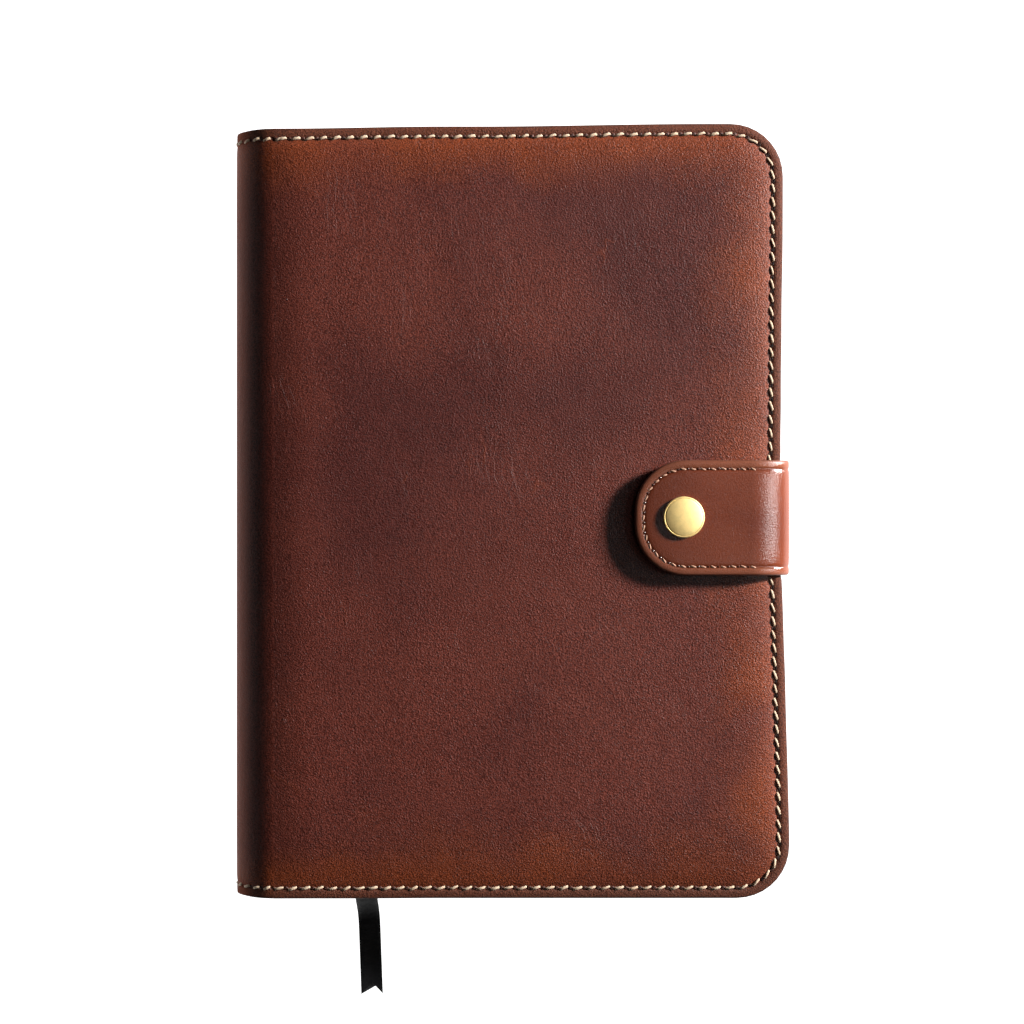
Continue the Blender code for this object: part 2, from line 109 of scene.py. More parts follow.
LINING_SECTION = (
    (7.5, 2.8), (7.4, 1.92), (0.7, 1.92), (0.45, 2.0), (0.34, 2.3), (0.34, 3.2),
    (0.45, 3.5), (0.8, 3.6), (2.3, 3.62), (3.0, 3.72), (3.7, 3.62), (6, 3.6),
    (20, 3.6), (50, 3.6), (80, 3.6), (109.95, 3.6),
)
POCKET_SECTION = (
    (4.5, 4.7), (4.5, 3.72), (1.0, 3.72), (0.85, 3.9), (0.8, 5.0), (0.9, 5.3),
    (1.2, 5.4), (2.3, 5.42), (3.0, 5.3), (3.7, 5.42), (6, 5.4), (30, 5.4),
    (70, 5.4), (109.9, 5.4), (109.9, 4.7), (60, 4.7),
)


# ---- geometry helpers


def place(points):
    points = np.asarray(points, float).copy()
    points[..., 0] += SHIFT_X
    return points / 1000


def spot(x, y, z):
    return tuple(float(c) for c in place([[x, y, z]])[0])


def wave(x, y, scale, seed=0.0):
    return noise.noise(Vector((x / scale + seed, y / scale - seed, seed * 0.37)))


def smooth(a, b, x):
    t = min(max((x - a) / (b - a), 0.0), 1.0)
    return t * t * (3 - 2 * t)


def add_object(name, data):
    made = bpy.data.objects.new(name, data)
    bpy.context.scene.collection.objects.link(made)
    return made


def mesh_object(name, points, faces, material, attributes=None, normals=None, crease=None):
    """A mesh object from millimetre points, smooth shaded, with named vertex attributes."""
    mesh = bpy.data.meshes.new(name)
    mesh.from_pydata([tuple(p) for p in place(points)], [], faces)
    for key, values in (attributes or {}).items():
        layer = mesh.attributes.new(key, "FLOAT", "POINT")
        layer.data.foreach_set("value", np.asarray(values, np.float32).ravel())
    rest = mesh.attributes.new("rest", "FLOAT_VECTOR", "POINT")
    rest.data.foreach_set("vector", np.asarray(points, np.float32).ravel())
    mesh.materials.append(material)
    mesh.shade_smooth()
    if crease:
        mesh.set_sharp_from_angle(angle=math.radians(crease))
    if normals is not None:
        mesh.normals_split_custom_set_from_vertices([tuple(n) for n in normals])
    return add_object(name, mesh)


def weld(points, faces, attributes):
    """Joins points that lie on each other, and drops the faces that this leaves without area."""
    _, kept, index = np.unique(
        np.round(points, 5), axis=0, return_index=True, return_inverse=True
    )
    index = index.reshape(-1)
    joined = []
    for face in faces:
        ring = [index[v] for v in face]
        ring = [v for k, v in enumerate(ring) if v != ring[k - 1]]
        if len(set(ring)) > 2:
            joined.append(tuple(int(v) for v in ring))
    values = {key: np.asarray(value).ravel()[kept] for key, value in attributes.items()}
    return np.asarray(points)[kept], joined, values


def grid_faces(rows, columns, wrap=False, flip=False):
    faces = []
    for i in range(rows - 1):
        for j in range(columns if wrap else columns - 1):
            k = (j + 1) % columns
            quad = (i * columns + j, i * columns + k, (i + 1) * columns + k, (i + 1) * columns + j)
            faces.append(quad[::-1] if flip else quad)
    return faces


def grid_ends(rows, columns, flip=False):
    """The two faces that close the first and the last row of a wrapped grid."""
    first = tuple(range(columns))
    last = tuple((rows - 1) * columns + j for j in range(columns))
    return [first[::-1], last] if flip else [first, last[::-1]]


def grid_normals(grid, wrap, flip):
    """Vertex normals of a grid of points, from the quads round each."""
    rows, columns = grid.shape[:2]
    total = np.zeros_like(grid)
    last = columns if wrap else columns - 1
    here = np.arange(last)
    there = (here + 1) % columns
    for i in range(rows - 1):
        a, b = grid[i, here], grid[i, there]
        c, d = grid[i + 1, there], grid[i + 1, here]
        n = np.cross(c - a, d - b)
        if flip:
            n = -n
        for row, column in ((i, here), (i, there), (i + 1, there), (i + 1, here)):
            np.add.at(total[row], column, n)
    length = np.linalg.norm(total, axis=2, keepdims=True)
    return total / np.maximum(length, 1e-12)


def u_path(start, far, half, radius, inset, counts):
    """Points along three sides of a panel: out along one side, round a corner, across the far
    end, round the other corner and back."""
    side, arc, end = counts
    edge = max(half - inset, 0.0)
    bend = min(max(radius - inset, 0.0), edge)
    reach = far - inset if far > start else far + inset
    sign = 1 if far > start else -1
    turn_x = reach - sign * bend
    points = [(start + (turn_x - start) * i / side, -edge) for i in range(side)]
    for i in range(arc):
        angle = math.pi / 2 * i / arc
        points.append((turn_x + sign * bend * math.sin(angle), -edge + bend - bend * math.cos(angle)))
    span = edge - bend
    points += [(reach, -span + 2 * span * i / end) for i in range(end)]
    for i in range(arc):
        angle = math.pi / 2 * i / arc
        points.append((turn_x + sign * bend * math.cos(angle), span + bend * math.sin(angle)))
    points += [(turn_x + (start - turn_x) * i / side, edge) for i in range(side + 1)]
    return np.array(points)


def lengths_along(points):
    steps = np.linalg.norm(np.diff(points, axis=0), axis=1)
    return np.concatenate([[0], np.cumsum(steps)])


# The belly of the fore edge: how far it stands out, how far below the middle it starts, and the
# length that it grows over.
BELLY, BELLY_START, BELLY_RUN = 2.45, 16, 77


def warp(x, y):
    """The hand-cut outline isn't quite square: the fore edge bellies out below the tab and is
    pressed in under it, and the head and the tail aren't quite parallel."""
    pull = -0.2 + 0.6 * smooth(20, 95, y) + 0.12 * wave(y, 3, 14)
    pull -= 0.65 * smooth(18, 13, abs(y - TAB_Y))
    if y < -BELLY_START:
        pull += BELLY * min(1, (-y - BELLY_START) / BELLY_RUN) ** 0.75
    shift = SPINE_SHIFT * (1 - smooth(SPINE_R, 60, x))
    shift += (0.14 * smooth(20, 60, x) + 0.75 * smooth(70, 135, x)) * smooth(40, 110, y)
    shift -= 0.3 * smooth(15, 50, x) * smooth(-40, -110, y)
    return x + pull * smooth(60, WIDTH, x), y + shift


COVER_COUNTS = (60, 9, 88)
SINK, SINK_RUN = 0.8, 12.0  # how far the outer leather sinks at the spine, and over what length


def sink(run):
    """How far the outer leather sinks at a distance past the line where the spine starts to
    bend; it is back at its full height in the middle of the spine."""
    if run < 0:
        return SINK * max(1 + run / SINK_RUN, 0) ** 2
    t = min(run / (SPINE_R * math.pi / 2), 1.0)
    rise = 2 * SINK / SINK_RUN * SPINE_R * math.pi / 2
    return SINK * (1 - 3 * t * t + 2 * t**3) + rise * (t - 2 * t * t + t**3)


def outer_depth(depth, run):
    """The depth of a point of the outer leather, thinner where the leather sinks."""
    return depth + sink(run) * max(1 - depth / LEATHER_T, 0)


def painted_shade_at(run, y):
    """How much shade is painted into the leather: in a band beside the spine and at the tail."""
    band = smooth(-10, 3, run) * smooth(13, 7.5, run)
    return max(band, 0.7 * smooth(-78, -100, y))


def cover_height(depth, x, y, front, inset):
    """z of a point of a cover, with the slight waviness of the leather on its outer side."""
    sag = 0.0
    if inset > 3.6:
        fade = smooth(3.6, 18, inset) * smooth(14, 40, x)
        sag = fade * (0.2 * wave(x, y, 46, 3.1) + 0.09 * wave(x, y, 17, 8.4))
        if not front:
            sag = min(sag - 0.14 * fade, 0.0)
    level = depth - sag if depth < 0.9 else depth
    if inset > 0:
        level = outer_depth(level, SPINE_R - x)
    return THICK - level if front else level


def cover_panel(name, section, start, front, material, closed=False, outer=True):
    """One layer of a cover: the section carried round the three free sides and in to the middle.
    Only the outer layer is wavy and sinks at the spine."""
    rings = []
    rims = []
    for inset, depth in section:
        path = u_path(start, WIDTH, HEIGHT / 2, CORNER, inset, COVER_COUNTS)
        ring = []
        for x, y in path:
            z = cover_height(depth, x, y, front, inset if outer else 0)
            ring.append((*warp(x, y), z))
        rings.append(ring)
        rims.append(np.full(len(path), inset))
    grid = np.array(rings).transpose(1, 0, 2)
    rim = np.array(rims).T
    seam = u_path(start, WIDTH, HEIGHT / 2, CORNER, SEAM_INSET, COVER_COUNTS)
    run = lengths_along(seam)
    pitch = run[-1] / SEAM_STITCHES if start == SPINE_R else SEAM_PITCH
    run = SPINE_R / pitch + run / pitch
    rows, columns = grid.shape[:2]
    faces = grid_faces(rows, columns, wrap=closed, flip=not front)
    if closed:
        faces += grid_ends(rows, columns, flip=front)
    # Painted shade: darker in a band beside the spine and towards the tail.
    shade = [painted_shade_at(SPINE_R - x, y) for x, y in grid[..., :2].reshape(-1, 2)]
    attributes = {"rim": rim, "run": np.repeat(run[:, None], columns, axis=1), "shade": shade}
    points, faces, attributes = weld(grid.reshape(-1, 3), faces, attributes)
    return mesh_object(name, points, faces, material, attributes, crease=50 if closed else None)


def spine_sections(section):
    """A section as (y, depth), from the head's underside over the outer face and back under the
    tail."""
    head = [(HEIGHT / 2 - inset, depth) for inset, depth in section]
    tail = [(-y, depth) for y, depth in reversed(head)]
    return head + tail[1:]


SPINE_PAIRS = (
    ("back", "spine_lower"),
    ("spine_lower", "spine_mid"),
    ("spine_mid", "spine_upper"),
    ("spine_upper", "front"),
)
SPINE_STEPS = 12  # in each of the four pieces


def spine_point(turn, depth):
    """turn is 0 at the back cover and pi at the front one."""
    radius = SPINE_R - depth
    return SPINE_R - radius * math.sin(turn), SPINE_R - radius * math.cos(turn)


def spine_depth(depth, turn, inset):
    """The edge is thinned less round the spine than on the covers, and flares a little."""
    if depth < 1.25:
        depth *= 1 - 0.6 * math.sin(turn)
    depth = outer_depth(depth, spine_run(turn))
    flare = 0.3 * math.sin(turn) ** 2 * smooth(11, 1, inset)
    return depth - flare * max(1 - depth / LEATHER_T, 0)


def spine_run(turn):
    """The distance round the spine from the nearer cover."""
    return SPINE_R * min(turn, math.pi - turn)


def spine_pieces(name, section, material, closed_loop):
    """Four pieces of one layer of the half-round spine."""
    profile = spine_sections(section) if not closed_loop else list(section)
    steps = 4 * SPINE_STEPS
    rows = []
    for i in range(-1, steps + 2):
        turn = math.pi * min(max(i / steps, 0), 1)
        past = 2.0 if i < 0 or i > steps else 0.0
        row = []
        for y, depth in profile:
            if not closed_loop:
                depth = spine_depth(depth, turn, HEIGHT / 2 - abs(y))
            x, z = spine_point(turn, depth)
            row.append((x + past, y + SPINE_SHIFT, z))
        rows.append(row)
    grid = np.array(rows)
    normals = grid_normals(grid, closed_loop, False)
    grid, normals = grid[1:-1], normals[1:-1]
    columns = len(profile)
    rim = [min(HEIGHT / 2 - abs(y), 60) for y, _ in profile]
    pieces = []
    for k, (low, high) in enumerate(SPINE_PAIRS):
        first = k * SPINE_STEPS
        part = slice(first, first + SPINE_STEPS + 1)
        points = grid[part].reshape(-1, 3)
        turns = np.arange(first, first + SPINE_STEPS + 1) / steps
        run = SPINE_R / SEAM_PITCH + turns * SPINE_STITCHES
        stretch = [0.8 * smooth(0.5, 0.9, math.sin(math.pi * turn)) for turn in turns]
        attributes = {
            "rim": np.tile(rim, SPINE_STEPS + 1),
            "run": np.repeat(run, columns),
            "bend": np.repeat(np.sin(math.pi * turns), columns),
            "stretch": np.repeat(stretch, columns),
            # painted shade beside the spine and at the tail
            "shade": [painted_shade_at(spine_run(math.pi * turn), y) for turn in turns for y, _ in profile],
        }
        piece = mesh_object(
            f"{name}_{k + 1}",
            points,
            grid_faces(SPINE_STEPS + 1, columns, wrap=closed_loop),
            material,
            attributes,
            normals[part].reshape(-1, 3),
        )
        a, b = (math.pi * (first + step) / steps for step in (0, SPINE_STEPS))
        (ax, az), (bx, bz) = spine_point(a, 0), spine_point(b, 0)
        spot(ax, 0, az)
        spot(bx, 0, bz)
        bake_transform(piece)
        pieces.append(piece)
    return pieces


def stitch_mesh(stitches, radius, rise, slant, plies=2):
    """Points and faces of many stitches. Each is (start, end, up, side): it comes up out of one
    hole, lies over the leather askew and goes down into the other. No two are quite the same."""
    steps, around = 10, 10
    sunk = 0.55  # how far below the leather's face the stitch's ends are
    chance = random.Random(11)
    skin = grid_faces(steps + 1, around, wrap=True, flip=True) + grid_ends(steps + 1, around)
    points = []
    faces = []
    for n, (start, end, up, side) in enumerate(stitches):
        base = len(points)
        start, end, up, side = (np.asarray(v, float) for v in (start, end, up, side))
        lean = slant * chance.uniform(0.75, 1.3)
        short = chance.uniform(0.08, 0.14)
        jitter = chance.uniform(-0.1, 0.1)
        girth = radius * chance.uniform(0.86, 1.08)
        for i in range(steps + 1):
            t = i / steps
            reach = short + (1 - 2 * short) * t
            hump = math.sin(math.pi * t) ** 0.5
            swing = lean * (1 - 2 * t) * smooth(-0.12, 0.22, t) + jitter
            centre = start + (end - start) * reach
            centre = centre + up * (-sunk + (rise + sunk) * hump) + side * swing
            thick = girth * (0.72 + 0.28 * hump)
            twist = 2 * math.pi * (1.6 * t + 0.13 * n)
            for j in range(around):
                angle = 2 * math.pi * j / around
                ply = 1 + 0.15 * math.cos(plies * (angle - twist))
                offset = side * math.cos(angle) * thick * ply * 1.15
                offset = offset + up * math.sin(angle) * thick * ply * 0.85
                points.append(centre + offset)
        faces += [tuple(base + v for v in face) for face in skin]
    return np.array(points), faces


def level_stitch(start, end, up, turn):
    """A stitch on a level face that looks up (1) or down (-1)."""
    side = np.cross(end - start, (0, 0, turn))
    return start, end, (0, 0, up), side / np.linalg.norm(side)


def cover_stitches(front, inner=False):
    """The stitches of one cover: on its outer leather, or on its lining and pocket."""
    path = u_path(SPINE_R, WIDTH, HEIGHT / 2, CORNER, SEAM_INSET, (400, 60, 500))
    run = lengths_along(path)
    pitch = run[-1] / SEAM_STITCHES
    first = math.ceil(SPINE_R / pitch) * pitch - SPINE_R
    stitches = []
    up = 1.0 if front != inner else -1.0
    count = int((run[-1] - first) / pitch)
    for k in range(count):
        ends = []
        for s in (first + k * pitch, first + (k + 1) * pitch):
            x, y = (np.interp(s, run, path[:, c]) for c in (0, 1))
            depth = outer_depth(1.0, SPINE_R - x)
            if inner:
                depth = POCKET_SEAM if x > POCKET_START + 1 else LINING_SEAM
            ends.append(np.array((*warp(x, y), THICK - depth if front else depth)))
        stitches.append(level_stitch(*ends, up, 1.0))
    return stitches


def spine_stitches(k):
    """The stitches at the head and tail of one spine piece."""
    phase = SPINE_R / SEAM_PITCH
    stitches = []
    for sign in (1, -1):
        for hole in range(math.ceil(phase) - 1, math.floor(phase) + SPINE_STITCHES + 1):
            turns = [(hole + step - phase) / SPINE_STITCHES for step in (0, 1)]
            middle = min(max(sum(turns) / 2, 0), 0.999)
            if int(middle * 4) != k:
                continue
            ends = []
            for turn in turns:
                flat = (min(turn, 0) - max(turn - 1, 0)) * SPINE_STITCHES * SEAM_PITCH
                bent = math.pi * min(max(turn, 0), 1)
                x, z = spine_point(bent, spine_depth(1.0, bent, SEAM_INSET))
                y = sign * (HEIGHT / 2 - SEAM_INSET) + SPINE_SHIFT
                ends.append(np.array((x - flat, y, z)))
            turn = math.pi * middle
            up = np.array((-math.sin(turn), 0, -math.cos(turn)))
            side = np.array((0, float(sign), 0))
            if sign > 0:
                ends.reverse()
            stitches.append((ends[0], ends[1], up, side))
    return stitches


def turned(name, profile, x, y, material, steps=72):
    """A turned piece about a vertical line; a profile that starts on the line is closed there."""
    grid = []
    for i in range(steps):
        angle = 2 * math.pi * i / steps
        grid.append([(x + r * math.cos(angle), y + r * math.sin(angle), z) for r, z in profile])
    grid = np.array(grid)
    columns = len(profile)
    closed = profile[0][0] > 0.01
    faces = []
    for i in range(steps):
        k = (i + 1) % steps
        for j in range(columns if closed else columns - 1):
            n = (j + 1) % columns
            faces.append((i * columns + j, k * columns + j, k * columns + n, i * columns + n))
    return mesh_object(name, grid.reshape(-1, 3), faces, material, crease=40)


# ---- materials


class Shader:
    """A material's node tree, with short calls for the nodes used here."""

    def __init__(self, name):
        self.material = bpy.data.materials.new(name)
        self.material.use_nodes = True
        self.tree = self.material.node_tree
        self.surface = self.tree.nodes["Principled BSDF"]

    def node(self, kind, *values, **settings):
        made = self.tree.nodes.new(kind)
        for key, value in settings.items():
            setattr(made, key, value)
        for socket, value in zip(made.inputs, values):
            self.feed(socket, value)
        return made

    def feed(self, socket, value):
        if value is None:
            return
        if isinstance(value, bpy.types.NodeSocket):
            self.tree.links.new(value, socket)
        elif hasattr(socket.default_value, "__len__") and not hasattr(value, "__len__"):
            socket.default_value = [value] * len(socket.default_value)
        elif hasattr(value, "__len__") and len(value) == 3 and len(socket.default_value) == 4:
            socket.default_value = (*value, 1.0)
        else:
            socket.default_value = value

    def fill(self, made, **values):
        for key, value in values.items():
            self.feed(made.inputs[key.replace("_", " ")], value)

    def set(self, **values):
        self.fill(self.surface, **values)

    def attribute(self, name, kind="Fac"):
        return self.node("ShaderNodeAttribute", attribute_name=name).outputs[kind]

    def math(self, operation, a, b=0.0):
        return self.node("ShaderNodeMath", a, b, operation=operation).outputs[0]

    def times(self, a, b):
        return self.math("MULTIPLY", a, b)

    def plus(self, a, b):
        return self.math("ADD", a, b)

    def minus(self, a, b):
        return self.math("SUBTRACT", a, b)

    def remap(self, value, low, high, to_low=0.0, to_high=1.0):
        made = self.node("ShaderNodeMapRange", value, low, high, to_low, to_high)
        made.interpolation_type = "SMOOTHSTEP"
        return made.outputs[0]

    def mix(self, share, a, b, blend="MIX"):
        made = self.node("ShaderNodeMix", data_type="RGBA", blend_type=blend)
        for index, value in ((0, share), (6, a), (7, b)):
            self.feed(made.inputs[index], value)
        return made.outputs[2]

    def stretch(self, vector, scale):
        made = self.node("ShaderNodeVectorMath", vector, tuple(scale), operation="MULTIPLY")
        return made.outputs[0]

    def noise(self, vector, scale, detail=2.0, roughness=0.5, warp=0.0):
        made = self.node("ShaderNodeTexNoise")
        self.fill(made, Vector=vector, Scale=scale, Detail=detail)
        self.fill(made, Roughness=roughness, Distortion=warp)
        return made.outputs["Fac"]

    def cells(self, vector, scale, feature="F1"):
        made = self.node("ShaderNodeTexVoronoi", feature=feature)
        self.fill(made, Vector=vector, Scale=scale)
        return made.outputs["Distance"]

    def bump(self, height, strength, distance, below=None):
        made = self.node("ShaderNodeBump")
        self.fill(made, Height=height, Strength=strength, Distance=distance / 1000, Normal=below)
        return made.outputs[0]


def seam_hole(s, rim, run, inset, pitch, radius):
    """1 at the needle holes of a seam, 0 away from them; a hole is longer along the seam."""
    part = s.minus(s.math("FRACT", s.plus(run, 0.5)), 0.5)
    along = s.times(part, 0.7 * pitch)
    across = s.minus(rim, inset)
    square = s.plus(s.times(along, along), s.times(across, across))
    return s.remap(s.math("SQRT", square), radius * 0.35, radius, 1.0, 0.0)


def scaled(colour, share):
    return tuple(c * share for c in colour)


def leather(
    name, deep, mid, glow, edge, seam, roughness, holes,
    grain=1.0, pull=1.0, relief=1.0, shine=0.3, blunt=7.0,
):
    """Vegetable-tanned leather with pull-up: patches of the deep and mid colours that glow towards
    the seams and end in an edge colour, with fine grain whose specks are partly painted glints
    and painted shade, pores, creases and scuffs, painted shade in the seam's groove, a painted
    shadow in its holes, and painted shade where the shade attribute says. seam and blunt are
    distances from the edge: the seam's, and how far in the leather is rougher. holes is what
    seam_hole takes. The rest are sizes or strengths beside the cover's."""
    s = Shader(name)
    rest = s.attribute("rest", "Vector")
    rim = s.attribute("rim")
    run = s.attribute("run")

    # The dye, and how it changes towards the edge.
    clouds = s.noise(rest, 0.013, 2.0, 0.45, 0.4)
    patches = s.noise(rest, 0.04, 3.0, 0.5, 0.3)
    tone = s.plus(s.times(clouds, 0.7), s.times(patches, 0.3))
    colour = s.mix(s.remap(tone, 0.36, 0.64), deep, mid)
    drift = s.times(s.minus(patches, 0.5), 40.0)
    halo = s.remap(s.plus(rim, drift), seam - 3.0, seam + 21.0, 0.9 * pull, 0.0)
    colour = s.mix(halo, colour, glow)
    margin = s.remap(rim, seam - 0.6, seam + 0.2, 1.0, 0.0)
    colour = s.mix(s.times(margin, 0.8), colour, edge)
    burnish = s.remap(rim, 0.05, 0.7, 1.0, 0.0)
    colour = s.mix(s.times(burnish, 0.7), colour, scaled(edge, 0.4))

    # The grain: light and dark specks, partly painted glints and painted shade, pores and scuffs.
    fine = s.noise(rest, 2.6 / grain, 2.0, 0.55, 0.2)
    grain_and_glint_speck = s.remap(fine, 0.34, 0.66)
    # Painted glints and painted shade: the specks lighten and darken the grain's colour.
    dark = s.mix(1.0, colour, (0.54, 0.49, 0.47), "MULTIPLY")
    light = s.mix(1.0, colour, (1.44, 1.47, 1.44), "MULTIPLY")
    colour = s.mix(s.mix(relief, (0.5, 0.5, 0.5), grain_and_glint_speck), dark, light)
    pebble = s.cells(rest, 1.9 / grain)
    wrinkle = s.noise(rest, 1.8 / grain, 4.0, 0.65, 0.7)
    pores = s.cells(rest, 1.15 / grain)
    pit = s.remap(pores, 0.04, 0.22, 1.0, 0.0)
    colour = s.mix(s.times(pit, 0.35 * relief), colour, scaled(deep, 0.4))
    shift = s.node("ShaderNodeCombineXYZ", s.times(patches, 30.0)).outputs[0]
    bent = s.node("ShaderNodeVectorMath", rest, shift, operation="ADD")
    scratch = s.cells(s.stretch(bent.outputs[0], (0.21, 0.02, 0.05)), 1.0, "DISTANCE_TO_EDGE")
    scuffs = s.remap(scratch, 0.0, 0.012, 1.0, 0.0)
    scuffs = s.times(scuffs, s.remap(s.noise(rest, 0.045, 2.0), 0.5, 0.68))
    colour = s.mix(s.times(scuffs, 0.16 * relief), colour, scaled(glow, 1.9))

    # The relief of the same grain, over a broad unevenness.
    height = s.plus(s.times(pebble, -0.5), s.times(wrinkle, 0.8))
    height = s.plus(height, s.times(fine, 0.6))
    height = s.minus(height, s.times(pit, 0.4))
    height = s.minus(height, s.times(scuffs, 0.2))
    normal = s.bump(height, 0.85 * relief, 0.21)
    normal = s.bump(s.noise(rest, 0.13, 3.0, 0.5), 0.3 * relief, 0.5, normal)

    # The seam's groove and needle holes: painted shade in the groove, a painted shadow in the holes.
    hole = seam_hole(s, rim, run, *holes)
    # Painted shade along the seam's groove.
    groove = s.remap(s.math("ABSOLUTE", s.minus(rim, holes[0])), 0.2, 0.8, 0.28, 0.0)
    colour = s.mix(groove, colour, scaled(deep, 0.4))
    # Painted shadow: the needle holes near black.
    colour = s.mix(s.times(hole, 0.7), colour, (0.008, 0.003, 0.002))
    normal = s.bump(s.times(hole, -1.0), 0.8, 0.5, normal)

    # Wear: duller near the edge and where it bends, pale where stretched; and painted shade, dark
    # where the shade attribute says.
    rough = s.plus(roughness, s.times(s.minus(fine, 0.5), 0.2))
    rough = s.plus(rough, s.times(s.minus(tone, 0.5), 0.25))
    rough = s.plus(rough, s.times(s.attribute("bend"), 0.25))
    # Painted shade: the shade attribute darkens the colour towards black.
    colour = s.mix(s.times(s.attribute("shade"), 0.3), colour, (0.0, 0.0, 0.0))
    colour = s.mix(s.times(s.attribute("stretch"), 0.6), colour, scaled(glow, 1.35))
    rough = s.plus(rough, s.remap(rim, 0.3, blunt, 0.25, 0.0))
    s.set(Base_Color=colour, Roughness=rough, Normal=normal, Specular_IOR_Level=shine)
    return s.material


def suede(name, colour):
    """The lining: split leather with a short nap."""
    s = Shader(name)
    rest = s.attribute("rest", "Vector")
    nap = s.noise(rest, 2.2, 6.0, 0.75, 0.5)
    drift = s.noise(rest, 0.05, 4.0, 0.6)
    shade = s.mix(s.remap(nap, 0.3, 0.7), scaled(colour, 0.62), colour)
    shade = s.mix(s.remap(drift, 0.35, 0.65, 0.0, 0.5), shade, scaled(colour, 1.3))
    s.set(Base_Color=shade, Roughness=0.92, Specular_IOR_Level=0.2, Sheen_Weight=0.35)
    s.set(Normal=s.bump(nap, 0.5, 0.25))
    return s.material


def thread(name, colour):
    s = Shader(name)
    rest = s.attribute("rest", "Vector")
    fuzz = s.noise(rest, 4.5, 5.0, 0.7)
    dirt = s.noise(rest, 0.12, 3.0, 0.6)
    shade = s.mix(s.remap(fuzz, 0.3, 0.75), scaled(colour, 0.72), colour)
    shade = s.mix(s.remap(dirt, 0.45, 0.75, 0.0, 0.45), shade, (0.45, 0.27, 0.15))
    s.set(Base_Color=shade, Roughness=0.6, Sheen_Weight=0.2, Specular_IOR_Level=0.35)
    s.set(Normal=s.bump(fuzz, 0.5, 0.12))
    return s.material


def paper(name, colour):
    s = Shader(name)
    rest = s.attribute("rest", "Vector")
    pulp = s.noise(rest, 1.6, 5.0, 0.7)
    lines = s.noise(s.stretch(rest, (0.001, 0.001, 6.0)), 1.0, 2.0, 0.6)
    shade = s.mix(s.remap(lines, 0.35, 0.65), scaled(colour, 0.84), colour)
    shade = s.mix(s.remap(pulp, 0.3, 0.7, 0.0, 0.12), shade, (0.55, 0.45, 0.3))
    s.set(Base_Color=shade, Roughness=0.85, Specular_IOR_Level=0.25)
    s.set(Normal=s.bump(pulp, 0.25, 0.06))
    return s.material


def card(name, colour, fleck):
    s = Shader(name)
    where = s.node("ShaderNodeTexCoord").outputs["Object"]
    pulp = s.noise(where, 900.0, 5.0, 0.7)
    blots = s.noise(where, 60.0, 3.0, 0.6)
    shade = s.mix(s.remap(pulp, 0.42, 0.75), colour, fleck)
    shade = s.mix(s.remap(blots, 0.4, 0.7, 0.0, 0.25), shade, scaled(colour, 0.7))
    s.set(Base_Color=shade, Roughness=0.8, Specular_IOR_Level=0.3, Normal=s.bump(pulp, 0.3, 0.08))
    return s.material


def satin(name):
    """Black ribbon: fine cross ribs with a brighter weft."""
    s = Shader(name)
    across = s.attribute("across")
    along = s.attribute("along")
    rib = s.math("SINE", s.times(along, 2 * math.pi / 0.42))
    warp_line = s.math("SINE", s.times(across, 2 * math.pi / 0.34))
    checks = s.times(rib, warp_line)
    selvedge = s.remap(s.math("ABSOLUTE", across), 2.75, 2.95)
    tone = s.remap(checks, -1.0, 1.0)
    shade = s.mix(tone, (0.002, 0.002, 0.003), (0.012, 0.012, 0.013))
    shade = s.mix(s.times(selvedge, 0.6), shade, (0.003, 0.003, 0.004))
    height = s.plus(s.times(rib, 0.7), s.times(warp_line, 0.4))
    s.set(Base_Color=shade, Roughness=0.5, Specular_IOR_Level=0.2, Sheen_Weight=0.05)
    s.set(Normal=s.bump(height, 0.5, 0.07))
    return s.material


def brass(name, colour, rough):
    s = Shader(name)
    where = s.attribute("rest", "Vector")
    brushed = s.noise(where, 3.2, 3.0, 0.6)
    tarnish = s.noise(where, 0.55, 4.0, 0.6)
    shade = s.mix(s.remap(tarnish, 0.4, 0.75, 0.0, 0.5), colour, scaled(colour, 0.72))
    grey = s.plus(rough, s.times(s.minus(brushed, 0.5), 0.12))
    s.set(Base_Color=shade, Metallic=1.0, Roughness=grey, Normal=s.bump(brushed, 0.3, 0.06))
    return s.material


COVER_TONES = dict(
    deep=(0.08, 0.016, 0.0122),
    mid=(0.128, 0.0255, 0.0155),
    glow=(0.22, 0.043, 0.0118),
    edge=(0.115, 0.031, 0.0135),
    seam=3.0,
    roughness=0.4,
    holes=(SEAM_INSET, SEAM_PITCH, 0.62),
)
COVER_LEATHER = leather("cover_leather", **COVER_TONES)
SPINE_LEATHER = leather("spine_leather", shine=0.2, **COVER_TONES)
TAB_LEATHER = leather(
    "tab_leather",
    deep=(0.1, 0.0175, 0.008),
    mid=(0.132, 0.0255, 0.0118),
    glow=(0.22, 0.052, 0.023),
    edge=(0.25, 0.073, 0.034),
    seam=TAB_SEAM,
    grain=0.9,
    roughness=0.15,
    shine=0.6,
    blunt=1.8,
    pull=0.7,
    relief=0.28,
    holes=(TAB_SEAM, TAB_PITCH, 0.4),
)
LINING = suede("lining_suede", (0.24, 0.115, 0.06))
THREAD = thread("waxed_thread", (0.72, 0.53, 0.36))
TAB_THREAD = thread("waxed_thread_tab", (0.52, 0.27, 0.17))
PAPER = paper("page_paper", (0.83, 0.78, 0.66))
CARD = card("kraft_card", (0.30, 0.19, 0.10), (0.44, 0.31, 0.18))
BOARD = card("grey_board", (0.28, 0.25, 0.2), (0.4, 0.36, 0.3))
RIBBON = satin("ribbon_satin")
CAP_BRASS = brass("cap_brass", (0.97, 0.75, 0.34), 0.66)
SNAP_BRASS = brass("snap_brass", (0.62, 0.47, 0.24), 0.36)


# ---- camera and ribbon


def add_camera():
    """Straight above the cover, as in the photo."""
    data = bpy.data.cameras.new("camera")
    data.sensor_width = 36
    data.lens = 69.1
    data.clip_end = 20
    camera = add_object("camera", data)
    camera.location = (0.00032, 0.0, 0.584)
    bpy.context.scene.camera = camera


